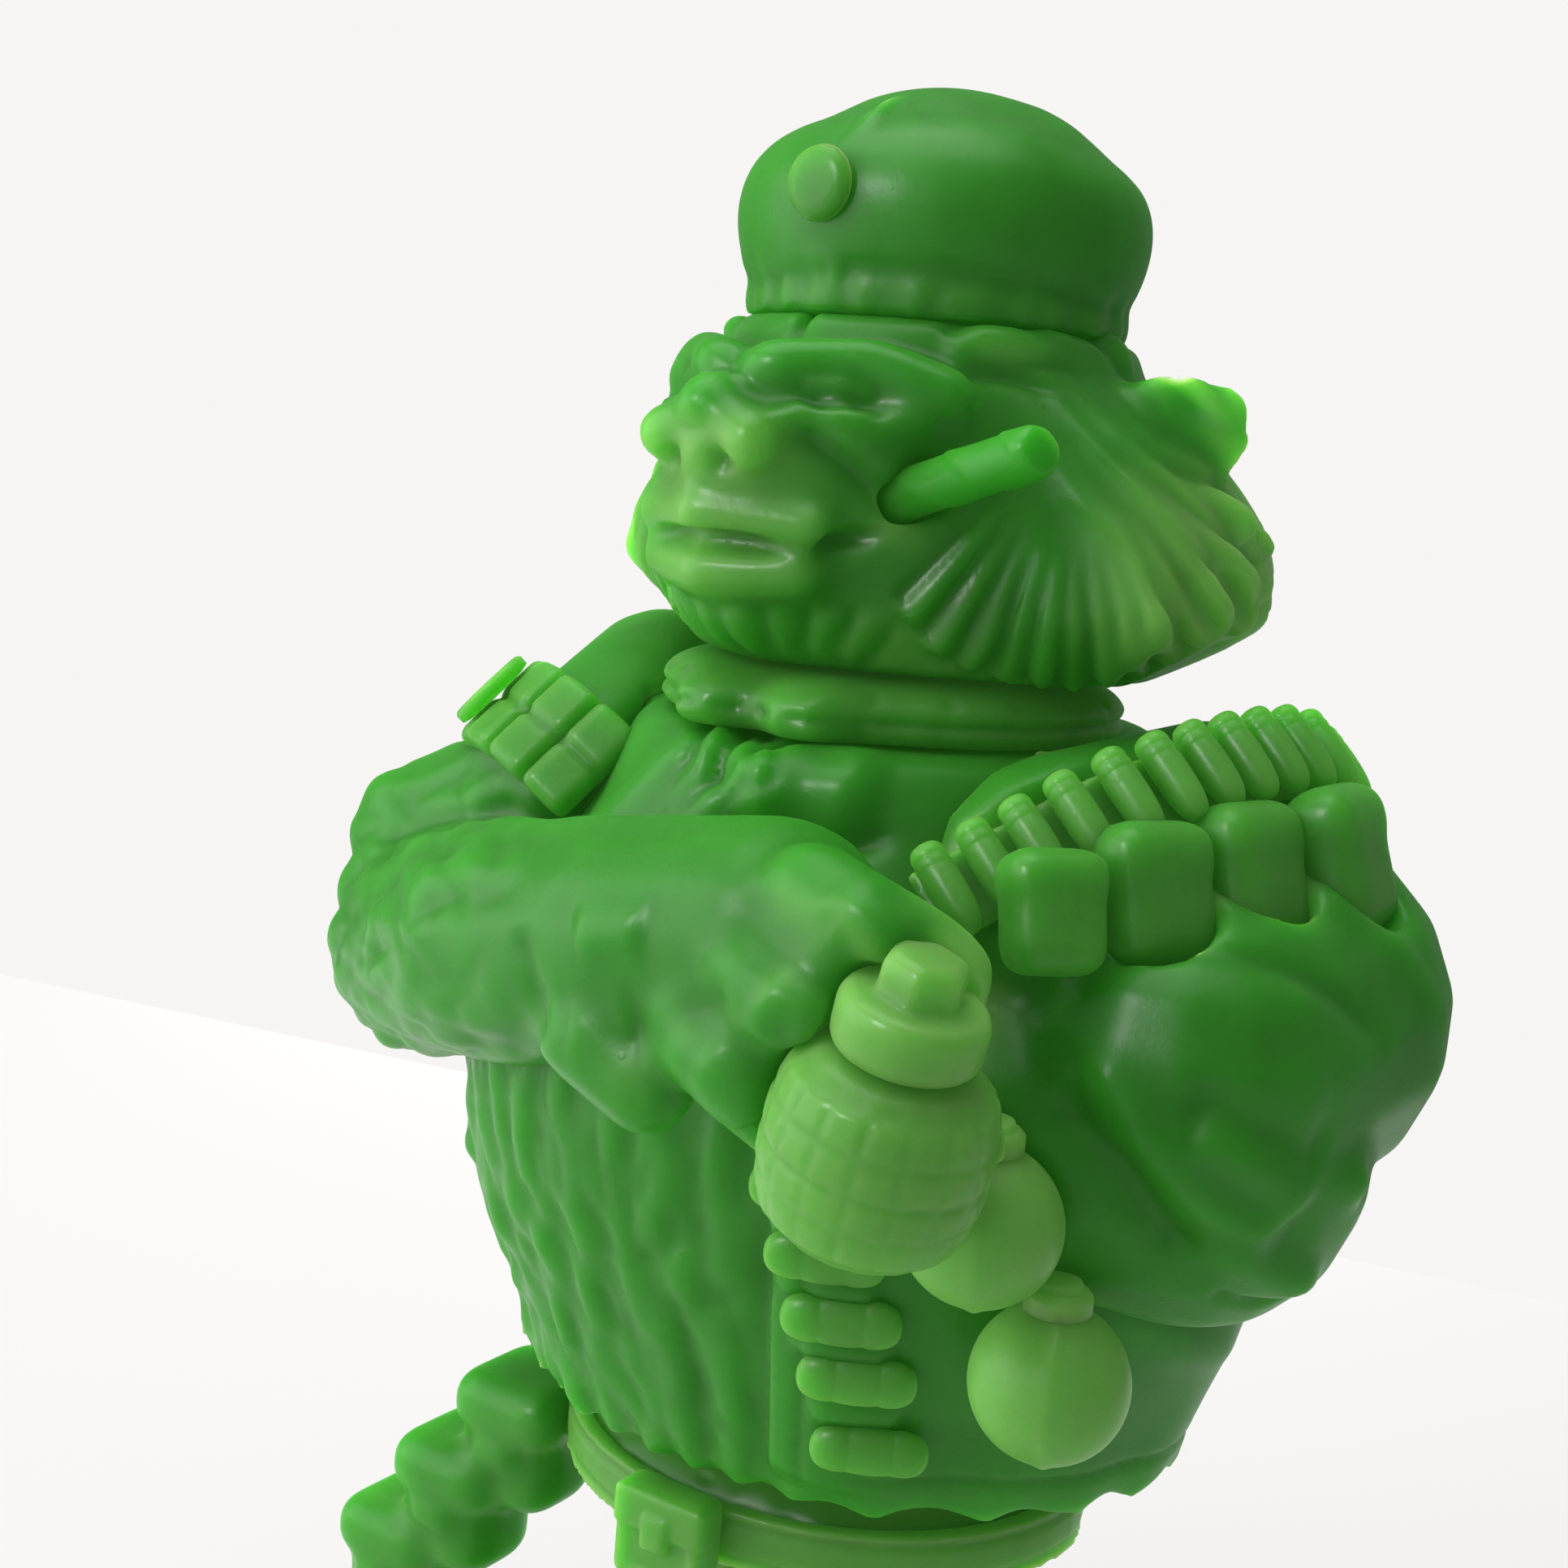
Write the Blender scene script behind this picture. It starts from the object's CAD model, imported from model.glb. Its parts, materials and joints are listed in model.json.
# %% [markdown]
# A soft vinyl soldier figure, cast in one translucent green and put together on hidden plugs.
# The CAD model gives every piece its place. This lesson dresses it: the castings are copied,
# remeshed and sculpted with brush strokes, and the small gear is modelled from primitives.

# %% Load the frame
import json
import math
import bpy
import bmesh
import numpy as np
from mathutils import Matrix, Vector
from mathutils.bvhtree import BVHTree


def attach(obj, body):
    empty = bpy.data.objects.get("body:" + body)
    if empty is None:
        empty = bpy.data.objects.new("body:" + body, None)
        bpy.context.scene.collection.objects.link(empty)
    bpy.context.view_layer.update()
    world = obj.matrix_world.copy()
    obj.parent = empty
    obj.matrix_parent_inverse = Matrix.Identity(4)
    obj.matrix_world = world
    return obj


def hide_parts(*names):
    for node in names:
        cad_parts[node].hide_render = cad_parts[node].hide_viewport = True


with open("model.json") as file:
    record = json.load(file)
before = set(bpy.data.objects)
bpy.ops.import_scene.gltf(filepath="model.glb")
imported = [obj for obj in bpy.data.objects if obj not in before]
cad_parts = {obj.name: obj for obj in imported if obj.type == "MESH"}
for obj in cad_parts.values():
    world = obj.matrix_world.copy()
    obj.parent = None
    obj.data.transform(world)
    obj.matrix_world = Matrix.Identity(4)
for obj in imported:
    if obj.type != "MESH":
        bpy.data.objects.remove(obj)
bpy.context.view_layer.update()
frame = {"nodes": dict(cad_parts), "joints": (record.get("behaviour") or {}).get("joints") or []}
MM = 0.001
neck_joint = next(joint for joint in frame["joints"] if joint["name"] == "neck_turn")
neck_axis = np.array([neck_joint["pos_m"][0], neck_joint["pos_m"][1], 0.0])/MM

# %% [markdown]
# The camera stands close to the figure's left front, a little above the belt and leaning over.
# Close perspective makes the belly and the gear large. The picture is taken to be 1932 pixels
# square, which lets us lay a brush stroke where the picture shows a fold.

# %% Camera
PICTURE = 1932
camera_turn, camera_rise, camera_roll = np.radians([33, 9, 5])
camera_angle = math.radians(40)
camera_spot = np.array([77.68, -133.89, 105.13])
camera_back = np.array([
    math.sin(camera_turn)*math.cos(camera_rise),
    -math.cos(camera_turn)*math.cos(camera_rise),
    math.sin(camera_rise),
])
level_right = np.array([math.cos(camera_turn), math.sin(camera_turn), 0.0])
level_up = np.cross(camera_back, level_right)
camera_right = math.cos(camera_roll)*level_right + math.sin(camera_roll)*level_up
camera_up = np.cross(camera_back, camera_right)
focal = PICTURE/2/math.tan(camera_angle/2)
camera_data = bpy.data.cameras.new("camera")
camera_data.sensor_fit = "HORIZONTAL"
camera_data.angle = camera_angle
camera_data.clip_start = 0.01
camera = bpy.data.objects.new("camera", camera_data)
bpy.context.scene.collection.objects.link(camera)
placed = np.eye(4)
placed[:3, :3] = np.stack([camera_right, camera_up, camera_back], axis=1)
placed[:3, 3] = (camera_spot + neck_axis)*MM
camera.matrix_world = Matrix(placed.tolist())
bpy.context.scene.camera = camera
bpy.context.scene.view_settings.view_transform = "Standard"


def picture_ray(pixel):
    """The way that the camera looks through one pixel of the picture."""
    across, down = pixel
    way = camera_right*(across - PICTURE/2)/focal - camera_up*(down - PICTURE/2)/focal - camera_back
    return way/np.linalg.norm(way)


print("camera stands at", np.round(placed[:3, 3], 4))

# %% [markdown]
# Shaders are built from nodes. These helpers make a node with its values, link nodes in pairs, and
# show the camera another shader than the one that lights the scene.

# %% Node helpers


def add_node(tree, kind, values=None, **settings):
    """One node with its settings and input values."""
    node = tree.nodes.new(kind)
    for key, value in settings.items():
        setattr(node, key, value)
    for key, value in (values or {}).items():
        node.inputs[key].default_value = value
    return node


def join_nodes(tree, *pairs):
    """Links given as output and input pairs."""
    for start, end in pairs:
        tree.links.new(start, end)


def seen_apart(tree, lit, seen, factor, output):
    """Mixes what the camera sees into what lights the scene."""
    mix = add_node(tree, "ShaderNodeMixShader")
    join_nodes(
        tree,
        (factor, mix.inputs[0]),
        (lit.outputs[0], mix.inputs[1]),
        (seen.outputs[0], mix.inputs[2]),
        (mix.outputs[0], output.inputs["Surface"]),
    )


print("node helpers are ready")

# %% [markdown]
# A pale floor ends a hand's width behind the figure, and a slightly greyer world stands for the
# wall. The camera sees both as nearly white, so the green is the only colour in the picture. Broad
# area lamps give the soft highlights of a window and a low bounce from the front, and one behind the
# figure shines through its thin edges. A small lamp adds only the glints on the satin skin.

# %% Floor, world and lamps
world = bpy.data.worlds.new("pale_room")
bpy.context.scene.world = world
world.use_nodes = True
room = world.node_tree
room.nodes.clear()
room_light = add_node(room, "ShaderNodeBackground", {"Color": (1.0, 0.99, 0.98, 1), "Strength": 0.19})
room_seen = add_node(room, "ShaderNodeBackground", {"Color": (0.93, 0.913, 0.905, 1), "Strength": 1.0})
room_ray = add_node(room, "ShaderNodeLightPath")
room_out = add_node(room, "ShaderNodeOutputWorld")
seen_apart(room, room_light, room_seen, room_ray.outputs["Is Camera Ray"], room_out)


def lamp(name, spot, aim, size, watts):
    """A square area lamp; spot and aim are in the figure's millimetres."""
    data = bpy.data.lights.new(name, "AREA")
    data.size = size*MM
    data.energy = watts
    holder = bpy.data.objects.new(name, data)
    bpy.context.scene.collection.objects.link(holder)
    start = Vector((np.array(spot, float) + neck_axis)*MM)
    way = Vector((np.array(aim, float) + neck_axis)*MM) - start
    holder.location = start
    holder.rotation_euler = way.to_track_quat("-Z", "Y").to_euler()
    return holder


figure_middle = (0, -5, 70)
lamp("window", (-280, -240, 170), figure_middle, size=380, watts=1.3)
lamp("sky", (-40, -60, 420), figure_middle, size=320, watts=1.0)
lamp("bounce", (-30, -320, 60), (0, 0, 55), size=320, watts=0.2)
back_light = lamp("back_light", (-160, 280, 160), figure_middle, size=300, watts=1.6)
back_light.visible_glossy = False
glint = lamp("glint", (-40, -260, 230), figure_middle, size=45, watts=0.5)
glint.visible_diffuse = False

floor_corner_points = [(-1000, -59), (1000, 367), (1500, -2500), (-2500, -2500)]
bpy.ops.object.select_all(action="DESELECT")
bpy.ops.mesh.primitive_plane_add(size=1)
floor = bpy.context.object
floor.name = "floor"
for vertex, place in zip([floor.data.vertices[k] for k in (2, 3, 1, 0)], floor_corner_points):
    vertex.co = Vector((np.array([place[0], place[1], 0.0]) + neck_axis)*MM)
floor_finish = bpy.data.materials.new("pale_floor")
floor_finish.use_nodes = True
floor_tree = floor_finish.node_tree
floor_shader = floor_tree.nodes["Principled BSDF"]
floor_shader.inputs["Base Color"].default_value = (0.62, 0.61, 0.605, 1)
floor_shader.inputs["Roughness"].default_value = 0.8
floor_seen = add_node(floor_tree, "ShaderNodeEmission", {"Color": (0.955, 0.94, 0.93, 1)})
floor_seen_share = 0.72
floor_ray = add_node(floor_tree, "ShaderNodeLightPath")
floor_part = add_node(floor_tree, "ShaderNodeMath", {1: floor_seen_share}, operation="MULTIPLY")
join_nodes(floor_tree, (floor_ray.outputs["Is Camera Ray"], floor_part.inputs[0]))
floor_out = floor_tree.nodes["Material Output"]
seen_apart(floor_tree, floor_shader, floor_seen, floor_part.outputs[0], floor_out)
floor.data.materials.append(floor_finish)
print("lamps and floor are in place")

# %% [markdown]
# Cast vinyl has no paint: all its colour comes from how far light gets into it. Thin edges glow a
# light yellow green and the thick core goes dark. A later cell measures that depth on each piece
# and keeps it in an attribute called core. The shader turns core into colour, lets light scatter
# under the skin, and adds the faint mottling and satin grain of a casting. Light does not pass from
# one mesh into the next here, so a faint glow stands for what the joined castings would share.

# %% Vinyl and plug finishes
grain = bpy.data.node_groups.new("moulded_grain", "ShaderNodeTree")
grain_sockets = [
    ("Colour", "INPUT", "Color"), ("Mottle", "INPUT", "Float"), ("Gloss", "INPUT", "Float"),
    ("Colour", "OUTPUT", "Color"), ("Roughness", "OUTPUT", "Float"), ("Height", "OUTPUT", "Float"),
]
for name, way, kind in grain_sockets:
    grain.interface.new_socket(name, in_out=way, socket_type="NodeSocket" + kind)
grain_in = add_node(grain, "NodeGroupInput")
grain_out = add_node(grain, "NodeGroupOutput")
grain_place = add_node(grain, "ShaderNodeTexCoord")
cloudy = add_node(grain, "ShaderNodeTexNoise", {"Scale": 140.0, "Detail": 3.0, "Roughness": 0.55})
satin = add_node(grain, "ShaderNodeTexNoise", {"Scale": 2600.0, "Detail": 2.0})
specks = add_node(grain, "ShaderNodeTexVoronoi", {"Scale": 420.0})
speck_values = {"From Min": 0.05, "From Max": 0.11, "To Min": 1.0, "To Max": 0.0}
speck_size = add_node(grain, "ShaderNodeMapRange", speck_values)
mottle_values = {"From Min": 0.3, "From Max": 0.7, "To Min": 0.75, "To Max": 1.3}
mottle_range = add_node(grain, "ShaderNodeMapRange", mottle_values)
shade = add_node(grain, "ShaderNodeMix", data_type="RGBA", blend_type="MULTIPLY")
gloss_range = add_node(grain, "ShaderNodeMath", {1: 0.16}, operation="MULTIPLY_ADD")
height_sum = add_node(grain, "ShaderNodeMath", {1: 1.6}, operation="MULTIPLY_ADD")
join_nodes(
    grain,
    (grain_place.outputs["Object"], cloudy.inputs["Vector"]),
    (grain_place.outputs["Object"], satin.inputs["Vector"]),
    (grain_place.outputs["Object"], specks.inputs["Vector"]),
    (cloudy.outputs[0], mottle_range.inputs[0]),
    (grain_in.outputs["Mottle"], shade.inputs[0]),
    (grain_in.outputs["Colour"], shade.inputs[6]),
    (mottle_range.outputs[0], shade.inputs[7]),
    (shade.outputs[2], grain_out.inputs["Colour"]),
    (cloudy.outputs[0], gloss_range.inputs[0]),
    (grain_in.outputs["Gloss"], gloss_range.inputs[2]),
    (gloss_range.outputs[0], grain_out.inputs["Roughness"]),
    (specks.outputs["Distance"], speck_size.inputs[0]),
    (speck_size.outputs[0], height_sum.inputs[0]),
    (satin.outputs[0], height_sum.inputs[2]),
    (height_sum.outputs[0], grain_out.inputs["Height"]),
)


def grained_finish(name, mottle, gloss, bump_strength, bump_reach):
    """A material with the moulded grain, and its shader and grain node."""
    finish = bpy.data.materials.new(name)
    finish.use_nodes = True
    tree = finish.node_tree
    shader = tree.nodes["Principled BSDF"]
    effect = add_node(tree, "ShaderNodeGroup", node_tree=grain)
    effect.inputs["Mottle"].default_value = mottle
    effect.inputs["Gloss"].default_value = gloss
    bump = add_node(tree, "ShaderNodeBump", {"Strength": bump_strength, "Distance": bump_reach*MM})
    join_nodes(
        tree,
        (effect.outputs["Colour"], shader.inputs["Base Color"]),
        (effect.outputs["Roughness"], shader.inputs["Roughness"]),
        (effect.outputs["Height"], bump.inputs["Height"]),
        (bump.outputs["Normal"], shader.inputs["Normal"]),
    )
    return finish, shader, effect


thin_green = (0.178, 0.415, 0.088, 1)
deep_green = (0.031, 0.222, 0.016, 1)
plug_cream = (0.72, 0.73, 0.66, 1)
vinyl_values = {
    "Subsurface Weight": 1.0,
    "Subsurface Radius": (0.42, 1.0, 0.26),
    "Subsurface Scale": 11.0*MM,
    "Emission Strength": 0.11,
    "IOR": 1.46,
    "Specular IOR Level": 0.25,
}


def vinyl_finish(name, gloss):
    """Translucent vinyl whose colour runs from its thin edges to its deep core."""
    finish, shader, effect = grained_finish(name, 0.35, gloss, bump_strength=0.12, bump_reach=0.12)
    tree = finish.node_tree
    core = add_node(tree, "ShaderNodeAttribute", attribute_name="core")
    depth = add_node(tree, "ShaderNodeMix", {6: thin_green, 7: deep_green}, data_type="RGBA")
    join_nodes(
        tree,
        (core.outputs["Fac"], depth.inputs[0]),
        (depth.outputs[2], effect.inputs["Colour"]),
        (effect.outputs["Colour"], shader.inputs["Emission Color"]),
    )
    for socket, value in vinyl_values.items():
        shader.inputs[socket].default_value = value
    return finish


casting_vinyl = vinyl_finish("casting_vinyl", gloss=0.3)
gear_vinyl = vinyl_finish("gear_vinyl", gloss=0.27)
plug_plastic, _, plug_grain = grained_finish("plug_plastic", 0.2, 0.5, bump_strength=0.2, bump_reach=0.1)
plug_grain.inputs["Colour"].default_value = plug_cream
print("finishes:", casting_vinyl.name, gear_vinyl.name, plug_plastic.name)

# %% [markdown]
# Every casting starts as a merged copy of its CAD solid. A voxel remesh gives it an even skin to
# sculpt, and a smoothing pass takes the facets off. The CAD node itself is never touched.

# %% Copies of the castings


def deselect():
    """Leaves object mode with nothing selected."""
    if bpy.context.object and bpy.context.object.mode != "OBJECT":
        bpy.ops.object.mode_set(mode="OBJECT")
    bpy.ops.object.select_all(action="DESELECT")


def pick(piece):
    """Makes one piece the only selected and active one."""
    deselect()
    piece.select_set(True)
    bpy.context.view_layer.objects.active = piece


def modify(piece, kind, **settings):
    """Adds one modifier and applies it."""
    pick(piece)
    modifier = piece.modifiers.new(kind.lower(), kind)
    for key, value in settings.items():
        setattr(modifier, key, value)
    bpy.ops.object.modifier_apply(modifier=modifier.name)


def unit(way):
    """A direction of length one."""
    return np.array(way, float)/np.linalg.norm(way)


def set_on(piece, spot, across, along, out):
    """Moves a piece's mesh to a spot with its X, Y and Z along three directions."""
    matrix = np.eye(4)
    matrix[:3, :3] = np.stack([across, along, out], axis=1)
    matrix[:3, 3] = (np.array(spot) + neck_axis)*MM
    piece.data.transform(Matrix(matrix.tolist()))
    piece.data.update()
    return piece


def new_copy(name, mesh):
    """A new object with its own copy of a mesh."""
    copy = bpy.data.objects.new(name, mesh.copy())
    bpy.context.scene.collection.objects.link(copy)
    return copy


def joined(name, pieces):
    """Joins pieces into one object at the origin."""
    pick(pieces[0])
    for piece in pieces:
        piece.select_set(True)
    if len(pieces) > 1:
        bpy.ops.object.join()
    whole = bpy.context.object
    whole.name = name
    whole.data.name = name
    return whole


def soften(piece, voxel, smoothing):
    """Melts joined forms into one soft casting."""
    modify(piece, "REMESH", mode="VOXEL", voxel_size=voxel*MM)
    modify(piece, "SMOOTH", factor=0.5, iterations=smoothing)


MERGE_REACH = 0.002*MM


def casting_copy(name, nodes, voxel, smoothing, added=()):
    """One remeshed skin over merged copies of some CAD nodes and some added forms."""
    copies = [new_copy(name, frame["nodes"][node].data) for node in nodes]
    piece = joined(name, [*copies, *added])
    bpy.ops.object.mode_set(mode="EDIT")
    bpy.ops.mesh.select_all(action="SELECT")
    bpy.ops.mesh.remove_doubles(threshold=MERGE_REACH)
    bpy.ops.object.mode_set(mode="OBJECT")
    soften(piece, voxel, smoothing)
    return piece


# %% [markdown]
# Sculpting in code needs one brush. A stroke follows a path on the skin and pushes the points near
# it along their normals: a ridge out, a groove in, a lock of hair with a groove on both sides, or
# an edge that lifts only the skin on its left. Tufts of fur are many strokes that follow a flow.

# %% Sculpting brush


def soft_step(low, high, value):
    """A smooth step from 0 at low to 1 at high."""
    share = np.clip((value - low)/(high - low), 0, 1)
    return share*share*(3 - 2*share)


def curve_through(points, steps=6):
    """A smooth curve through a few points."""
    points = [np.array(p, float) for p in points]
    if len(points) < 3:
        return np.array([points[0] + (points[1] - points[0])*k/steps for k in range(steps + 1)])
    ends = [2*points[0] - points[1], *points, 2*points[-1] - points[-2]]
    curve = []
    for a, b, c, d in zip(ends, ends[1:], ends[2:], ends[3:]):
        for t in np.arange(steps)/steps:
            curve.append(b + t/2*((c - a) + t*(2*a - 5*b + 4*c - d + t*(3*(b - c) + d - a))))
    return np.array([*curve, points[-1]])


PROFILES = {
    "ridge": lambda off, width, reach: np.exp(-(off/width)**2),
    "groove": lambda off, width, reach: -np.exp(-(off/width)**2),
    "lock": lambda off, width, reach: (
        np.exp(-(off/width)**2) - 0.7*np.exp(-((np.abs(off) - 1.5*width)/(0.55*width))**2)
    ),
    "edge": lambda off, width, reach: (
        soft_step(-width/2, width/2, off)*np.exp(-(np.maximum(off, 0)/reach)**2)
    ),
}

NO_TAPER = (0.01, 0.01)
SOFT_TAPER = (0.25, 0.25)
RAY_START, RAY_MISS = 60, 40
FIRST_REACH = 150.0


class Clay:
    """A casting's points in the figure's millimetres, moved by brush strokes along their normals."""

    def __init__(self, piece):
        self.piece = piece
        self.read()

    def read(self):
        """Takes points and normals from the mesh and forgets the strokes."""
        mesh = self.piece.data
        flat = np.empty(len(mesh.vertices)*3, np.float32)
        mesh.vertices.foreach_get("co", flat)
        self.points = flat.reshape(-1, 3).astype(float)/MM - neck_axis
        mesh.vertex_normals.foreach_get("vector", flat)
        self.normals = flat.reshape(-1, 3).astype(float)
        self.shift = np.zeros(len(self.points))
        self.tree = BVHTree.FromObject(self.piece, bpy.context.evaluated_depsgraph_get())

    def write(self):
        """Puts the points back into the mesh."""
        moved = (self.points + neck_axis)*MM
        self.piece.data.vertices.foreach_set("co", moved.astype(np.float32).ravel())
        self.piece.data.update()
        bpy.context.view_layer.update()
        self.read()

    def press(self):
        """Applies the strokes that were laid so far."""
        self.points = self.points + self.normals*self.shift[:, None]
        self.write()

    def move(self, weights, way):
        """Pulls a soft region along one way."""
        self.points = self.points + weights[:, None]*np.array(way, float)
        self.write()

    def near(self, place, radius):
        """Weights that fade from 1 at a place to 0 well outside its radius."""
        return np.exp(-(np.linalg.norm(self.points - np.array(place, float), axis=1)/radius)**2)

    def snap(self, place):
        """The nearest point on the skin and the normal there."""
        found, normal, _, _ = self.tree.find_nearest(Vector((np.array(place) + neck_axis)*MM))
        return np.array(found)/MM - neck_axis, np.array(normal)

    def around(self, angle, z, heart=(0, 0)):
        """The outermost skin at an angle about an upright axis and at a height."""
        out = np.array([math.sin(math.radians(angle)), -math.cos(math.radians(angle)), 0.0])
        start = np.array([heart[0], heart[1], z]) + out*RAY_START
        found, _, _, _ = self.tree.ray_cast(Vector((start + neck_axis)*MM), Vector(-out))
        if found is None:
            return self.snap(start - out*RAY_MISS)[0]
        return np.array(found)/MM - neck_axis

    def seen(self, *pixels):
        """The skin that the camera sees through some pixels of the picture."""
        start = Vector((camera_spot + neck_axis)*MM)
        places = []
        for pixel in pixels:
            way = picture_ray(pixel)
            found, _, _, _ = self.tree.ray_cast(start, Vector(way))
            if found is None:
                last = np.linalg.norm(places[-1] - camera_spot) if places else FIRST_REACH
                places.append(self.snap(camera_spot + way*last)[0])
            else:
                places.append(np.array(found)/MM - neck_axis)
        return places

    def stroke(self, path, width, height, profile="ridge", taper=SOFT_TAPER, reach=3.0):
        """Lays one brush stroke along a path."""
        path = curve_through(path)
        margin = 3*width + (reach if profile == "edge" else 0)
        low, high = path.min(0) - margin, path.max(0) + margin
        index = np.where(np.all((self.points > low) & (self.points < high), axis=1))[0]
        if len(index) == 0:
            return
        points, normals = self.points[index], self.normals[index]
        lengths = np.linalg.norm(np.diff(path, axis=0), axis=1)
        runs = np.concatenate([[0], np.cumsum(lengths)])/max(lengths.sum(), 1e-9)
        best = np.full(len(index), np.inf)
        share = np.zeros(len(index))
        side = np.ones(len(index))
        for k, (a, b) in enumerate(zip(path, path[1:])):
            way = b - a
            t = np.clip((points - a) @ way/max(way @ way, 1e-12), 0, 1)
            away = points - a - t[:, None]*way
            gap = np.linalg.norm(away, axis=1)
            closer = gap < best
            best = np.where(closer, gap, best)
            share = np.where(closer, runs[k] + t*(runs[k + 1] - runs[k]), share)
            left = np.cross(normals, way)
            side = np.where(closer, np.sign((away*left).sum(1) + 1e-12), side)
        off = best*side if profile == "edge" else best
        fade = soft_step(0, max(taper[0], 1e-6), share)*soft_step(0, max(taper[1], 1e-6), 1 - share)
        self.shift[index] += height*PROFILES[profile](off, width, reach)*fade

    def paint(self, strokes, taper=SOFT_TAPER):
        """Lays strokes that are given by pixels of the picture."""
        for pixels, width, height, profile in strokes:
            self.stroke(self.seen(*pixels), width, height, profile, taper)

    def column(self, angle, heights, heart=(0, 0)):
        """Places on the skin one above the other."""
        return [self.around(angle, z, heart) for z in heights]

    def row(self, angles, z, heart=(0, 0)):
        """Places on the skin side by side at one height."""
        return [self.around(angle, z, heart) for angle in angles]

    def ring(self, z, width, depth, step=12, heart=(0, 0)):
        """Sinks a groove round the skin at one height."""
        self.stroke(self.row(range(0, 361, step), z, heart), width, depth, "groove", NO_TAPER)

    def dot(self, place, width, height):
        """Raises a round bump, or sinks a dimple where the height is negative."""
        self.shift += height*self.near(place, width)

    def trace(self, start, flow, length, steps=6):
        """A path on the skin that follows a flow from its start."""
        place, normal = self.snap(start)
        path = [place]
        for _ in range(steps):
            way = np.array(flow(place), float)
            way = way - normal*(way @ normal)
            way = way/max(np.linalg.norm(way), 1e-9)
            place, normal = self.snap(place + way*length/steps)
            path.append(place)
        return path

    def tufts(self, region, flow, spacing, length, width, height, seed):
        """Strokes of fur spread evenly over a region; returns how many."""
        chance = np.random.default_rng(seed)
        kept = np.empty((0, 3))
        for k in chance.permutation(np.where(region)[0]):
            place = self.points[k]
            if len(kept) == 0 or np.min(((kept - place)**2).sum(1)) > spacing**2:
                kept = np.vstack([kept, place])
        for place in kept:
            size = chance.uniform(0.75, 1.25)
            sway = chance.normal(0, 0.3, 3)
            path = self.trace(place, lambda p: flow(p)/np.linalg.norm(flow(p)) + sway, length*size)
            self.stroke(path, width*size, height*size, "lock", taper=(0.35, 0.3))
        return len(kept)


print("brush profiles:", ", ".join(PROFILES))

# %% [markdown]
# Cast limbs have no sharp inside corners: the mould maker fills them. Swelling the skin, remeshing
# it and shrinking it back fills the valleys between two joined forms and leaves the rest alone.
# Before a piece is handed over, rays sent inwards measure how deep its vinyl is at every point.

# %% Fillets, depth and hand-over


def fillet(piece, swell, voxel, smoothing):
    """Fills the inside corners of a casting."""
    modify(piece, "DISPLACE", strength=swell*MM, mid_level=0.0)
    modify(piece, "REMESH", mode="VOXEL", voxel_size=voxel*MM)
    modify(piece, "DISPLACE", strength=-swell*MM, mid_level=0.0)
    soften(piece, voxel, smoothing)


def front_angle(points):
    """Degrees from the front of the figure, growing towards its left hand."""
    return np.degrees(np.arctan2(points[:, 0], -points[:, 1]))


INWARD_LEANS = [Vector(lean) for lean in ((0, 0, 0), (0.5, 0.3, 0), (-0.4, 0.1, 0.5), (0, -0.4, -0.5))]
SKIN_STEP = 0.02
BLUR_ROUNDS = 12
CORE_RANGE = (0.15, 0.95)


def measure_core(piece, limit, backing):
    """Keeps how deep the vinyl is at each point, from a share given by what lies behind to 1."""
    mesh = piece.data
    tree = BVHTree.FromObject(piece, bpy.context.evaluated_depsgraph_get())
    count = len(mesh.vertices)
    core = np.zeros(count)
    for k, vertex in enumerate(mesh.vertices):
        inward = -vertex.normal
        inside = vertex.co + inward*SKIN_STEP*MM
        for lean in INWARD_LEANS:
            found, _, _, far = tree.ray_cast(inside, (inward + lean).normalized(), limit*MM)
            core[k] += 1.0 if found is None else far/(limit*MM)
    core = core/len(INWARD_LEANS)
    edges = np.empty(len(mesh.edges)*2, np.int32)
    mesh.edges.foreach_get("vertices", edges)
    start, end = edges.reshape(-1, 2).T
    degree = np.maximum(np.bincount(edges, minlength=count), 1)
    for _ in range(BLUR_ROUNDS):
        total = np.bincount(start, core[end], count) + np.bincount(end, core[start], count)
        core = 0.5*core + 0.5*total/degree
    core = backing + (1 - backing)*soft_step(*CORE_RANGE, core)
    attribute = mesh.attributes.new("core", "FLOAT", "POINT")
    attribute.data.foreach_set("value", core.astype(np.float32))


CASTING_DEPTH = 14.0
ARM_DEPTH = 10.0
SLEEVE_DEPTH = 6.0
HANGING_DEPTH = 30.0
GEAR_BACKING = 0.55


def dress(piece, body, nodes, backing=GEAR_BACKING, depth=CASTING_DEPTH):
    """Gives a finished piece its depth, material, body, and the CAD nodes that it stands for."""
    piece.data.materials.clear()
    piece.data.materials.append(gear_vinyl if backing else casting_vinyl)
    pick(piece)
    bpy.ops.object.shade_smooth()
    bpy.context.view_layer.update()
    measure_core(piece, depth, backing)
    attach(piece, body)
    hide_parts(*nodes)
    print(piece.name, "has", len(piece.data.polygons), "faces")


def node_box(node):
    """The lowest and highest corner of a CAD node in the figure's millimetres."""
    corners = np.array([vertex.co for vertex in frame["nodes"][node].data.vertices])/MM - neck_axis
    return corners.min(0), corners.max(0)


print("depth is measured over", CASTING_DEPTH, "mm")

# %% [markdown]
# The torso casting is a furry belly in an open jacket. The CAD solid has its main locks and its
# torn hem. Finer locks sweep down and inwards over them. The jacket edge stands proud of the fur,
# a scarf is pleated into its neck, and a padded lapel lies beside it. Low ribs fill the row between
# the loops of the jacket. The back has a seam and folds.

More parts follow.
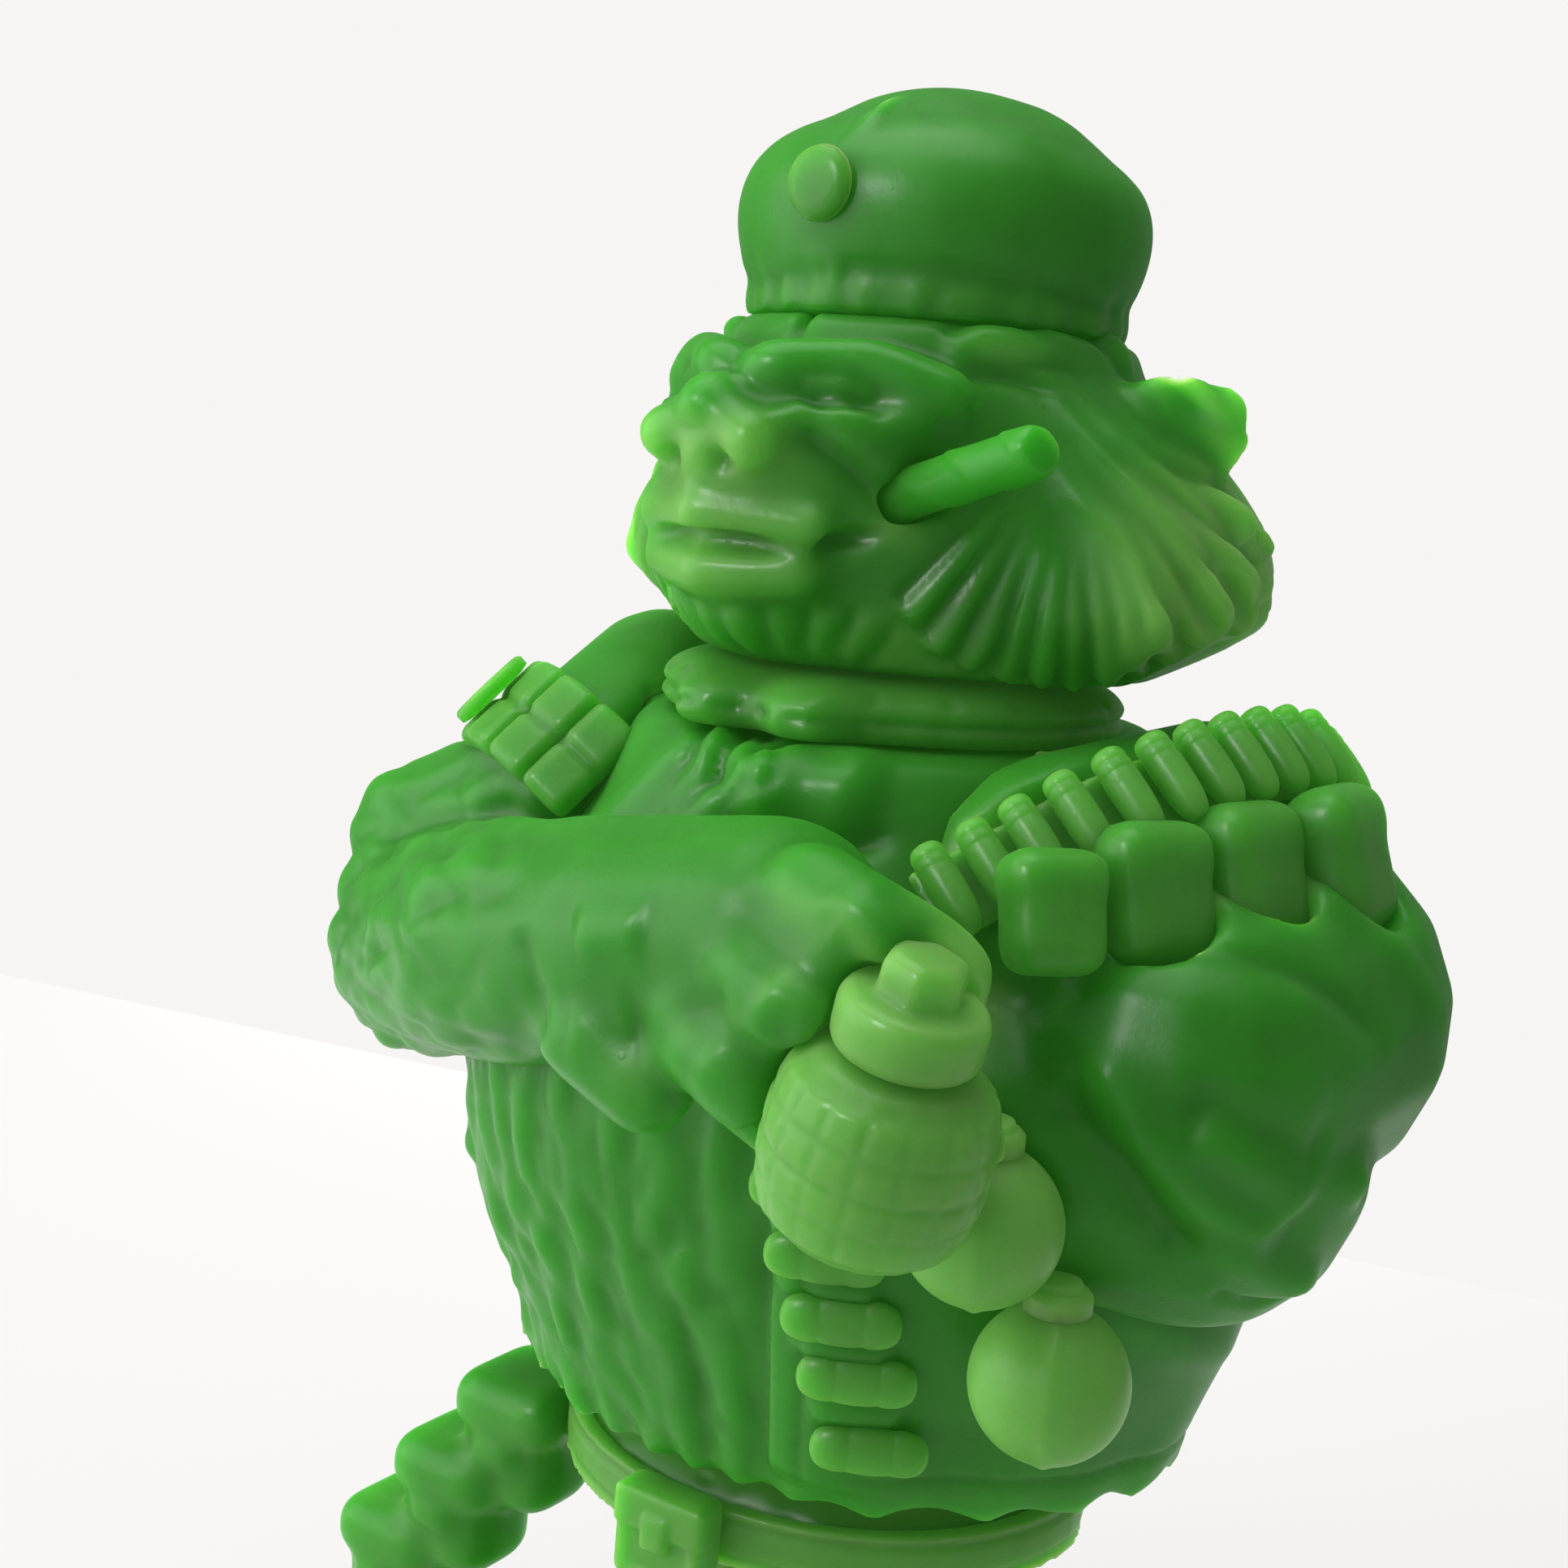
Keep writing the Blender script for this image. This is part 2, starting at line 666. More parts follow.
# %% Torso casting
torso = casting_copy("torso_casting", ["torso_shell"], voxel=0.46, smoothing=66)
clay = Clay(torso)
height = clay.points[:, 2]
turn = front_angle(clay.points)
belly = (turn > -72) & (turn < 17) & (height > 39) & (height < 76)
belly_foot = np.array([1.0, -14.0, 28.0])
locks = clay.tufts(
    belly, lambda p: belly_foot - p,
    spacing=4.4, length=7, width=1.3, height=0.26, seed=4,
)
clay.press()
edge_heights = (82, 72, 62, 52, 44, 38)
left_edge, left_seam, right_edge = 21, 26, -72
edge_taper = (0.1, 0.05)
clay.stroke(clay.column(left_edge, edge_heights), 0.8, 0.8, "edge", edge_taper, reach=8)
clay.stroke(clay.column(left_seam, edge_heights), 0.35, 0.3, "groove", edge_taper)
clay.stroke(clay.column(right_edge, edge_heights[::-1]), 0.8, 0.7, "edge", edge_taper, reach=8)
loop_ribs = [(33.5, 45.5), (30.8, 50.3), (28.3, 54.5), (26.0, 58.7)]
for angle, z in loop_ribs:
    clay.stroke(clay.row((angle - 7, angle, angle + 7), z), 1.0, 0.7, taper=(0.2, 0.2))
pleats = [
    [(940, 800), (880, 920), (812, 1004)],
    [(948, 840), (905, 940), (845, 1008)],
    [(965, 850), (930, 940), (880, 1005)],
    [(985, 830), (985, 880), (960, 925)],
]
clay.paint([(pleat, 0.9, 0.7, "lock") for pleat in pleats], taper=(0.1, 0.3))
clay.paint([
    ([(885, 985), (955, 972), (1030, 975), (1095, 990)], 2.6, 1.7, "ridge"),
    ([(870, 1000), (905, 945), (965, 918), (1040, 915)], 0.7, 0.7, "groove"),
    ([(880, 1005), (955, 1042), (1030, 1046), (1120, 1025)], 0.8, 0.8, "groove"),
])
seam_taper = (0.05, 0.05)
yoke_height, yoke_rise, hem_height = 72, 3, 39.5
clay.stroke(clay.column(180, (83, 70, 58, 46, 38)), 0.4, 0.5, "groove", seam_taper)
yoke = []
for angle in range(110, 251, 20):
    yoke.append(clay.around(angle, yoke_height + yoke_rise*math.cos(math.radians(angle*2))))
clay.stroke(yoke, 0.4, 0.45, "groove", seam_taper)
hem = clay.row(range(30, 286, 12), hem_height)
clay.stroke(hem, 0.35, 0.35, "groove", taper=(0.03, 0.03))
back_folds = [
    [(128, 64), (150, 57), (170, 54)],
    [(232, 66), (208, 58), (190, 55)],
    [(140, 50), (160, 45), (176, 44)],
    [(225, 50), (204, 46), (186, 44)],
    [(60, 56), (75, 50), (95, 47)],
    [(268, 56), (280, 49), (255, 46)],
]
for fold in back_folds:
    clay.stroke([clay.around(*spot) for spot in fold], 1.7, 0.7)
upper_back = ((130, 160, 190, 220), 83, 7, 1.2)
left_hem = ((50, 75, 100), 41, 6, -1.0)
right_hem = ((-45, -65, -85), 41, 7, -0.8)
for angles, z, width, lift in (upper_back, left_hem, right_hem):
    for place in clay.row(angles, z):
        clay.dot(place, width, lift)
clay.press()
print("belly locks:", locks)
dress(torso, "torso", ["torso_shell"], backing=0)

# %% [markdown]
# The right arm lies in front. Its forearm is furred towards the elbow and smooth at the wrist, and
# the hand is a mitten of fat fingers. Creases part the heel of the hand and mark the knuckles.

# %% Right arm
right_arm = casting_copy("right_arm_casting", ["right_arm"], voxel=0.38, smoothing=4)
fillet(right_arm, swell=0.6, voxel=0.38, smoothing=26)
clay = Clay(right_arm)
place = clay.points
elbow = np.array([-80.0, 30.0, 50.0])
facing = (clay.normals*(elbow - place)).sum(1)/np.linalg.norm(elbow - place, axis=1)
fur = (place[:, 0] < -4) & (place[:, 2] < 79) & (place[:, 1] < -2) & (facing < 0.45)
locks = clay.tufts(
    fur, lambda p: elbow - p,
    spacing=4.0, length=8, width=1.3, height=0.24, seed=9,
)
arm_creases = [
    [(640, 1130), (655, 1215), (672, 1300)],
    [(556, 1004), (625, 990), (705, 1008)],
    [(790, 1290), (850, 1250), (905, 1215)],
    [(1010, 1110), (1040, 1160), (1085, 1195)],
    [(930, 1230), (960, 1275), (1010, 1300)],
]
clay.paint([(crease, 1.1, 0.45, "groove") for crease in arm_creases])
arm_swells = [
    [(560, 985), (625, 970), (700, 985)],
    [(690, 1260), (740, 1262), (790, 1258)],
    [(700, 1150), (760, 1145), (800, 1150)],
]
clay.paint([(swell, 1.7, 0.6, "ridge") for swell in arm_swells])
fingers = [
    [(1015, 1095), (1075, 1140), (1135, 1190)],
    [(930, 1212), (980, 1258), (1025, 1305)],
    [(860, 1280), (900, 1320), (945, 1365)],
]
clay.paint([(finger, 2.0, 0.5, "ridge") for finger in fingers], taper=(0.3, 0.1))
upper_arm = clay.seen((470, 985))[0]
clay.dot(upper_arm, 4.5, 1.3)
clay.press()
print("forearm locks:", locks)
dress(right_arm, "torso", ["right_arm"], backing=0, depth=ARM_DEPTH)

# %% [markdown]
# The left arm is lost in a full sleeve. A roll runs round its top under the pouches, a second one
# follows it, and folds fall from the crook of the elbow to a torn hem.

# %% Left arm
left_arm = casting_copy("left_arm_casting", ["left_arm"], voxel=0.38, smoothing=6)
fillet(left_arm, swell=1.6, voxel=0.4, smoothing=14)
clay = Clay(left_arm)
sleeve_top = [
    (1290, 1185), (1340, 1140), (1441, 1122), (1524, 1108), (1613, 1110), (1714, 1160), (1778, 1300),
]
sleeve_strokes = [
    (sleeve_top, 1.3, 0.4, "ridge"),
    ([(1305, 1222), (1382, 1180), (1524, 1172), (1643, 1222), (1714, 1290)], 1.1, 0.5, "groove"),
    ([(1323, 1298), (1382, 1352), (1418, 1411), (1495, 1488), (1584, 1524)], 1.5, 0.9, "ridge"),
    ([(1465, 1387), (1554, 1441), (1601, 1500)], 1.5, 0.7, "ridge"),
    ([(1299, 1340), (1382, 1441), (1465, 1554)], 1.4, 0.9, "groove"),
    ([(1440, 1340), (1540, 1395), (1640, 1420)], 1.6, 0.5, "groove"),
    ([(1490, 1590), (1560, 1606), (1640, 1590)], 0.6, 0.5, "groove"),
]
clay.paint(sleeve_strokes, taper=(0.15, 0.15))
clay.press()
dress(left_arm, "torso", ["left_arm"], backing=0, depth=SLEEVE_DEPTH)

# %% [markdown]
# The beret is a soft crown over a gathered band. The crown's corner is worn down into a dome, and
# the band has small gathers above a shallow line.

# %% Beret
beret = casting_copy("beret_cap", ["beret"], voxel=0.38, smoothing=30)
clay = Clay(beret)
crown_height = node_box("beret")[1][2]
crease_low, crease_high = crown_height - 3.4, crown_height - 2.2
crease = []
for angle in range(0, 361, 15):
    crease.append(clay.around(angle, crease_low if 60 < angle < 300 else crease_high))
clay.stroke(crease, 3.2, 0.6, "groove", NO_TAPER)
band_foot_height, band_line_height, band_wave = 113.9, 116.2, 0.5
chance = np.random.default_rng(12)
for angle in range(0, 360, 11):
    foot = angle + chance.uniform(-3, 3)
    tall = chance.uniform(2.4, 4.6)
    tip = foot + chance.uniform(-4, 4)
    gather = [clay.around(foot, band_foot_height), clay.around(tip, band_foot_height + tall)]
    clay.stroke(gather, 0.9, 0.22, taper=(0.02, 0.6))
band_line = []
for angle in range(0, 361, 12):
    band_line.append(clay.around(angle, band_line_height + band_wave*math.sin(math.radians(3*angle))))
clay.stroke(band_line, 0.9, 0.3, "groove", NO_TAPER)
clay.press()
dress(beret, "head", ["beret"], backing=0)

# %% [markdown]
# The head is a broad-faced ape of our own: heavy brows, small deep eyes, a flat nose, a long upper
# lip and a beard ruff fluted like a shell. The flutes fan out from below the ear over the broad CAD
# locks, with a groove between each two. Short locks cross the brow and a roll of hair fills the
# gap below the beret.

# %% Head casting
head_foot = node_box("head_shell")[0][2]
head_height = 22.6
head_turn = math.radians(-8)
head_across = np.array([math.cos(head_turn), math.sin(head_turn), 0.0])


def mirrored(place):
    """The same place on the other side of the face."""
    return place - 2*(place @ head_across)*head_across


ear_middle = np.array([19.6, 0.4, 108.6])
ear_out = np.array([0.85, 0.53, 0.0])
ear_reach, ear_thick, ear_tall = 4.4, 1.3, 4.3
ears = []
for side in (1, -1):
    deselect()
    bpy.ops.mesh.primitive_uv_sphere_add(segments=32, ring_count=20, radius=MM)
    spot, out = ear_middle, ear_out
    if side < 0:
        spot, out = mirrored(ear_middle), mirrored(ear_out)
    thick = np.cross(out, [0, 0, 1])*ear_thick
    upright = np.array([0, 0, side])*ear_tall
    ears.append(set_on(bpy.context.object, spot, out*ear_reach, thick, upright))
head = casting_copy("head_casting", ["head_shell"], voxel=0.34, smoothing=10, added=ears)
fillet(head, swell=1.2, voxel=0.34, smoothing=12)
clay = Clay(head)


def on_head(angle, share):
    """A place on the head's skin, as degrees from the middle of the face and a share of its height."""
    return clay.around(angle + math.degrees(head_turn), head_foot + share*head_height)


def both_sides(path, width, height, profile, taper=SOFT_TAPER):
    """Lays one stroke by pixels of the picture and the same stroke on the far side of the head."""
    near_path = clay.seen(*path)
    clay.stroke(near_path, width, height, profile, taper)
    clay.stroke([clay.snap(mirrored(place))[0] for place in near_path], width, height, profile, taper)


fan_heart, fan_width, fan_height = np.array([1330, 515]), 292, 378
fan_shares = (0.3, 0.5, 0.7, 0.86, 0.98)
fan_step = 9.2
fan_angles = np.arange(18, 146, fan_step)
fan_taper = (0.6, 0.03)


def flute(angle):
    """Pixels along one flute of the ruff, which fans out from below the ear."""
    turn = math.radians(angle)
    reach = np.array([fan_width*math.cos(turn), fan_height*math.sin(turn)])
    return [tuple(fan_heart + reach*share) for share in fan_shares]


for angle in fan_angles:
    both_sides(flute(angle), 1.0, 0.55, "ridge", fan_taper)
    both_sides(flute(angle + fan_step/2), 0.6, 0.5, "groove", fan_taper)
nape_shares = (0.8, 0.6, 0.4, 0.2, 0.06)
for angle in range(140, 226, 8):
    down = [on_head(angle, share) for share in nape_shares]
    clay.stroke(down, 1.1, 0.5, taper=(0.5, 0.05))
hair_roll_share = 0.965
clay.stroke([on_head(angle, hair_roll_share) for angle in range(0, 361, 10)], 1.5, 0.9, taper=NO_TAPER)
clay.press()

brow = [(-46, 0.8), (-24, 0.87), (-7, 0.84), (0, 0.825), (7, 0.84), (24, 0.87), (46, 0.8)]
face_strokes = [
    (brow, 2.0, 0.9, "ridge"),
    ([(0, 0.8), (0, 0.74), (0, 0.66)], 1.6, 0.8, "ridge"),
    ([(-40, 0.5), (-24, 0.37), (0, 0.345), (24, 0.37), (40, 0.5)], 0.7, 1.2, "groove"),
    ([(-26, 0.29), (0, 0.265), (26, 0.29)], 1.5, 0.6, "ridge"),
]
face_dots = [((0, 0.6), 2.2, 0.9), ((0, 0.12), 3.2, 1.0)]
for side in (-1, 1):
    face_strokes += [
        ([(side*14, 0.69), (side*26, 0.56), (side*36, 0.42)], 0.9, 0.6, "groove"),
        ([(side*18, 0.7), (side*31, 0.6), (side*42, 0.46)], 1.8, 0.6, "ridge"),
        ([(side*13, 0.79), (side*21, 0.805), (side*29, 0.785)], 0.6, 0.5, "ridge"),
        ([(side*12, 0.745), (side*21, 0.725), (side*30, 0.74)], 0.7, 0.5, "ridge"),
    ]
    face_dots += [
        ((side*21, 0.765), 2.8, -1.3),
        ((side*21, 0.765), 1.4, 1.2),
        ((side*10, 0.61), 1.8, 0.9),
        ((side*5, 0.575), 0.8, -0.9),
    ]
    for chin in (5, 14, 23, 32):
        chin_lock = [(side*chin, 0.2), (side*chin*0.9, 0.1), (side*chin*0.7, 0.02)]
        face_strokes.append((chin_lock, 0.9, 0.2, "lock"))
for path, width, depth, profile in face_strokes:
    clay.stroke([on_head(*spot) for spot in path], width, depth, profile)
for spot, width, lift in face_dots:
    clay.dot(on_head(*spot), width, lift)
clay.press()

hair_locks = [
    [(1010, 352), (1090, 335), (1170, 350)],
    [(1090, 372), (1180, 352), (1265, 385)],
    [(1170, 408), (1260, 395), (1345, 432)],
    [(1150, 440), (1240, 432), (1330, 470)],
    [(1270, 362), (1335, 372), (1400, 420)],
    [(1300, 400), (1350, 415), (1400, 465)],
]
for lock in hair_locks:
    both_sides(lock, 1.2, 0.55, "lock", (0.2, 0.4))
both_sides([(1425, 440), (1470, 470), (1500, 520)], 1.5, 0.9, "groove")
clay.press()
ear_tip = np.array([22.6, 2.0, 111.4])
ear_tip_size, ear_tip_drop = 3.0, (0, 0, -2.2)
for tip in (ear_tip, mirrored(ear_tip)):
    clay.move(clay.near(tip, ear_tip_size), ear_tip_drop)
print("flutes:", 2*len(fan_angles), "hair locks:", 2*len(hair_locks))
dress(head, "head", ["head_shell"], backing=0.2)
core = np.empty(len(clay.points), np.float32)
head_core = head.data.attributes["core"].data
head_core.foreach_get("value", core)
share = (clay.points[:, 2] - head_foot)/head_height
away = np.linalg.norm(clay.points[:, :2], axis=1)
rim_reach, rim_top, rim_thinning = (18.5, 24.5), (0.62, 0.76), 0.7
rim = soft_step(*rim_reach, away)*(1 - soft_step(*rim_top, share))
head_core.foreach_set("value", (core*(1 - rim_thinning*rim)).astype(np.float32))

# %% [markdown]
# The collar is a rolled band under the ruff with a crease round its middle and small pleats.

# %% Collar
collar = casting_copy("collar_roll", ["collar"], voxel=0.36, smoothing=26)
clay = Clay(collar)
collar_low, collar_high = (corner[2] for corner in node_box("collar"))
collar_middle = (collar_low + collar_high)/2
collar_draw_in = 0.95
clay.points[:, :2] *= collar_draw_in
clay.write()
clay.ring(collar_middle - 0.4, 0.4, 0.5, step=15)
for angle in range(4, 360, 17):
    pleat = [clay.around(angle, collar_low + 0.5), clay.around(angle + 5, collar_high - 0.6)]
    clay.stroke(pleat, 0.6, 0.35, "groove")
clay.press()
dress(collar, "torso", ["collar"], backing=0.7)

# %% [markdown]
# Small gear is modelled from primitives. A turned form starts as a circle that is extruded and
# resized level by level, as on a lathe. A block starts as a cube with bevelled edges. Each is
# modelled once, and its copies go where the CAD solids are, found from the solids themselves.

# %% Tools for small gear


def turned(name, levels, sides=24):
    """A turned form along Z, given as radius and height pairs in millimetres."""
    deselect()
    first = levels[0]
    bpy.ops.mesh.primitive_circle_add(vertices=sides, radius=first[0]*MM, fill_type="NGON")
    piece = bpy.context.object
    piece.name = name
    bpy.ops.object.mode_set(mode="EDIT")
    bpy.ops.mesh.select_all(action="SELECT")
    bpy.ops.transform.translate(value=(0, 0, first[1]*MM))
    for (r, z), (next_r, next_z) in zip(levels, levels[1:]):
        bpy.ops.mesh.extrude_region_move(TRANSFORM_OT_translate={"value": (0, 0, (next_z - z)*MM)})
        share = next_r/r
        bpy.ops.transform.resize(value=(share, share, 1), center_override=(0, 0, next_z*MM))
    bpy.ops.mesh.select_all(action="SELECT")
    bpy.ops.mesh.normals_make_consistent(inside=False)
    bpy.ops.object.mode_set(mode="OBJECT")
    return piece


def block(name, size, bevel, segments, spot=(0, 0, 0)):
    """A cube of a size in millimetres with rounded edges."""
    deselect()
    bpy.ops.mesh.primitive_cube_add(size=1)
    piece = bpy.context.object
    piece.name = name
    bpy.ops.object.mode_set(mode="EDIT")
    bpy.ops.mesh.select_all(action="SELECT")
    bpy.ops.transform.resize(value=tuple(v*MM for v in size))
    bpy.ops.transform.translate(value=tuple(v*MM for v in spot))
    bpy.ops.object.mode_set(mode="OBJECT")
    modify(piece, "BEVEL", width=bevel*MM, segments=segments, limit_method="NONE")
    return piece


SHARP_EDGE = math.radians(25)


def round_edges(piece, width):
    """Bevels the sharp edges of a turned form."""
    modify(piece, "BEVEL", width=width*MM, segments=2, limit_method="ANGLE", angle_limit=SHARP_EDGE)


def select_faces(piece, wanted):
    """Enters edit mode with only the faces selected that pass a test on centre and normal."""
    pick(piece)
    bpy.ops.object.mode_set(mode="EDIT")
    bpy.ops.mesh.select_mode(type="FACE")
    bpy.ops.mesh.select_all(action="DESELECT")
    bpy.ops.object.mode_set(mode="OBJECT")
    for face in piece.data.polygons:
        face.select = bool(wanted(face.center/MM, face.normal))
    bpy.ops.object.mode_set(mode="EDIT")


def copies_of(model, name, places):
    """One joined object with a copy of the model at each place."""
    made = [set_on(new_copy(name, model.data), *place) for place in places]
    bpy.data.objects.remove(model)
    return joined(name, made)


def solids_of(node):
    """The points of each separate solid in a CAD node, in the figure's millimetres."""
    work = bmesh.new()
    work.from_mesh(frame["nodes"][node].data)
    bmesh.ops.remove_doubles(work, verts=work.verts, dist=MERGE_REACH)
    reached = set()
    clouds = []
    for first in work.verts:
        if first in reached:
            continue
        reached.add(first)
        edge_of_search = [first]
        cloud = []
        while edge_of_search:
            vertex = edge_of_search.pop()
            cloud.append(np.array(vertex.co)/MM - neck_axis)
            for edge in vertex.link_edges:
                other = edge.other_vert(vertex)
                if other not in reached:
                    reached.add(other)
                    edge_of_search.append(other)
        clouds.append(np.array(cloud))
    work.free()
    return clouds


def middle(cloud):
    """The middle of a cloud's box."""
    return (cloud.min(0) + cloud.max(0))/2


def long_axis(cloud):
    """A cloud's longest direction, from its thick end to its thin end, and its middle along it."""
    centre = cloud.mean(0)
    way = np.linalg.svd(cloud - centre)[2][0]
    along = (cloud - centre) @ way
    radius = np.linalg.norm(cloud - centre - along[:, None]*way, axis=1)
    half = (along.max() + along.min())/2
    if radius[along > half].mean() > radius[along < half].mean():
        return -way, centre + way*half
    return way, centre + way*half


print("tools for small gear are ready")

# %% [markdown]
# The shoulder belt is a web with a row of cartridges. One cartridge is turned with a rim, a groove,
# a raised loop that holds it and a blunt bullet, and is copied along the belt.

# %% Shoulder belt
web = casting_copy("belt_strap", ["belt_web"], voxel=0.28, smoothing=3)
dress(web, "torso", ["belt_web"], backing=0.75)
cartridge_levels = [
    (0.4, -3.2), (0.9, -3.1), (1.14, -2.75), (1.2, -2.35), (1.12, -2.2),
    (1.2, -2.05), (1.23, -1.6), (1.15, -1.45), (1.23, -1.3), (1.25, 0.0),
    (1.21, 1.2), (1.1, 2.0), (0.92, 2.6), (0.62, 3.05), (0.25, 3.2),
]
cartridge = turned("cartridge", cartridge_levels, sides=14)
modify(cartridge, "SUBSURF", levels=1, render_levels=1)
belt_heart = np.array([9.0, 0.0, 67.0])
places = []
for cloud in solids_of("cartridges"):
    way, centre = long_axis(cloud)
    out = centre - belt_heart
    out = unit(out - way*(out @ way))
    places.append((centre, out, np.cross(way, out), way))
cartridges = copies_of(cartridge, "belt_cartridges", places)
dress(cartridges, "torso", ["cartridges"], backing=0.65)

# %% [markdown]
# Four soft pouches lean on each other in a row over the sleeve. Each is a padded block with a domed
# flap, half sunk into the sleeve as the mould would cast it.

# %% Shoulder pouches
pouch_body = block("pouch", (8.2, 4.8, 9.4), 2.0, 4)
pouch_flap = block("pouch_flap", (8.5, 5.2, 4.4), 1.8, 4, spot=(0, 0, 2.3))
pouch = joined("pouch", [pouch_body, pouch_flap])
soften(pouch, voxel=0.3, smoothing=24)
pouch_sink, pouch_drop, pouch_lean = 0.95, -0.3, 0.35
pouch_sizes = (0.8, 0.94, 1.0, 1.04)
places = []
pouch_clouds = sorted(solids_of("shoulder_pouches"), key=lambda cloud: middle(cloud)[0])
for size, cloud in zip(pouch_sizes, pouch_clouds):
    centre = middle(cloud)
    out = unit([centre[0], centre[1], 0])
    up = unit(np.array([0, 0, 1.0]) - pouch_lean*out)
    across = np.cross(up, out)
    forward = np.cross(up, across)
    places.append((centre - pouch_sink*out - [0, 0, pouch_drop], across*size, forward, up*size))
pouches = copies_of(pouch, "shoulder_pouch_row", places)
dress(pouches, "torso", ["shoulder_pouches"], backing=0.75)

# %% [markdown]
# Five padded loops hold spare rounds down the front edge of the jacket.

# %% Jacket loops
loop_levels = [
    (0.3, -3.8), (1.0, -3.6), (1.45, -3.0), (1.6, -2.2), (1.58, -1.6), (1.48, -1.4), (1.6, -1.2),
    (1.68, 0.0), (1.6, 1.2), (1.48, 1.4), (1.58, 1.6), (1.6, 2.2), (1.45, 3.0), (1.0, 3.6), (0.3, 3.8),
]
loop = turned("loop", loop_levels, sides=16)
modify(loop, "SUBSURF", levels=1, render_levels=1)
loop_sink, loop_flat = 1.3, 0.6
places = []
for cloud in solids_of("jacket_loops"):
    way, centre = long_axis(cloud)
    out = unit([centre[0], centre[1], 0])
    places.append((middle(cloud) - loop_sink*out, out*loop_flat, np.cross(way, out), way))
loops = copies_of(loop, "front_loops", places)
dress(loops, "torso", ["jacket_loops"], backing=0.7)

# %% [markdown]
# The ribbed grenade is a barrel whose faces are inset one by one into raised blocks, with a lever
# down its side as one soft stroke. Its fuze has a wide collar and a six-sided knob.

# %% Ribbed grenade
barrel_cloud = solids_of("ribbed_grenade")[0]
fuze_cloud = solids_of("ribbed_fuze")[0]
barrel_middle = middle(barrel_cloud)
grenade_up = unit(middle(fuze_cloud) - barrel_middle)
grenade_out = unit([0.35, -1.0, 0.0])
grenade_out = unit(grenade_out - grenade_up*(grenade_out @ grenade_up))
grenade_turn = (np.cross(-grenade_out, grenade_up), -grenade_out, grenade_up)
barrel_levels = [
    (3.2, -5.6), (4.6, -5.3), (5.5, -4.4), (6.15, -2.2), (6.3, 0.0),
    (6.15, 2.2), (5.5, 4.4), (4.6, 5.3), (3.4, 5.65),
]
barrel = turned("ribbed_body", barrel_levels, sides=16)
select_faces(barrel, lambda centre, normal: abs(centre.z) < 4.7)
bpy.ops.mesh.inset(thickness=0.3*MM, depth=0.36*MM, use_individual=True)
bpy.ops.object.mode_set(mode="OBJECT")
soften(barrel, voxel=0.22, smoothing=14)
set_on(barrel, barrel_middle, *grenade_turn)
clay = Clay(barrel)
lever = [(1210, 1300), (1255, 1350), (1275, 1410), (1270, 1460)]
clay.paint([(lever, 1.3, 0.9, "ridge")], taper=(0.05, 0.15))
clay.press()
dress(barrel, "torso", ["ribbed_grenade"], backing=0.25, depth=HANGING_DEPTH)

collar_levels = [(2.6, -3.0), (3.9, -2.8), (4.25, -2.2), (4.25, -0.2), (3.9, 0.55), (2.4, 0.75)]
knob_levels = [(2.45, 0.6), (2.55, 0.8), (2.55, 2.5), (2.1, 3.05), (1.2, 3.15)]
fuze_collar = turned("fuze_collar", collar_levels, sides=32)
fuze_knob = turned("fuze_knob", knob_levels, sides=6)
for form in (fuze_knob, fuze_collar):
    round_edges(form, 0.3)
fuze = joined("ribbed_cap", [fuze_collar, fuze_knob])
soften(fuze, voxel=0.22, smoothing=6)
set_on(fuze, middle(fuze_cloud), *grenade_turn)
dress(fuze, "torso", ["ribbed_fuze"], backing=0.25, depth=HANGING_DEPTH)

# %% [markdown]
# Two round grenades hang below it. Each is a ball with a cast parting line and a small capped fuze.

# %% Round grenades
cap_levels = [(1.2, 4.3), (2.1, 4.5), (2.1, 5.6), (1.7, 6.0), (1.5, 6.0), (1.35, 6.45), (0.6, 6.5)]
seam_out = np.array([0.94, 0.34, 0.0])
seam_across = np.array([0.34, -0.94, 0.0])
seam_offset = 0.3
upright = np.array([0, 0, 1.0])
for name in ("upper_ball", "lower_ball"):
    node = name + "_grenade"
    cloud = solids_of(node)[0]
    low = cloud.min(0)
    radius = (cloud[:, 0].max() - low[0])/2
    centre = np.array([low[0] + radius, low[1] + radius, low[2] + radius])
    deselect()
    bpy.ops.mesh.primitive_uv_sphere_add(segments=64, ring_count=40, radius=radius*MM)
    shell = bpy.context.object
    cap = turned("ball_cap", cap_levels, sides=20)
    round_edges(cap, 0.15)
    ball = joined(name, [shell, cap])
    set_on(ball, centre, (1, 0, 0), (0, 1, 0), (0, 0, 1))
    clay = Clay(ball)
    parting = []
    for t in np.radians(np.arange(-80, 261, 20)):
        way = math.cos(t)*seam_across + math.sin(t)*upright
        parting.append(centre + radius*way + seam_out*seam_offset)
    clay.stroke(parting, 0.4, 0.16, "ridge", taper=(0.02, 0.02))
    clay.press()
    dress(ball, "torso", [node], backing=0.2, depth=HANGING_DEPTH)

# %% [markdown]
# The armband is a row of hinged plates round the upper arm with a plain round disc on top. Each
# plate is a block with its two top panels inset.

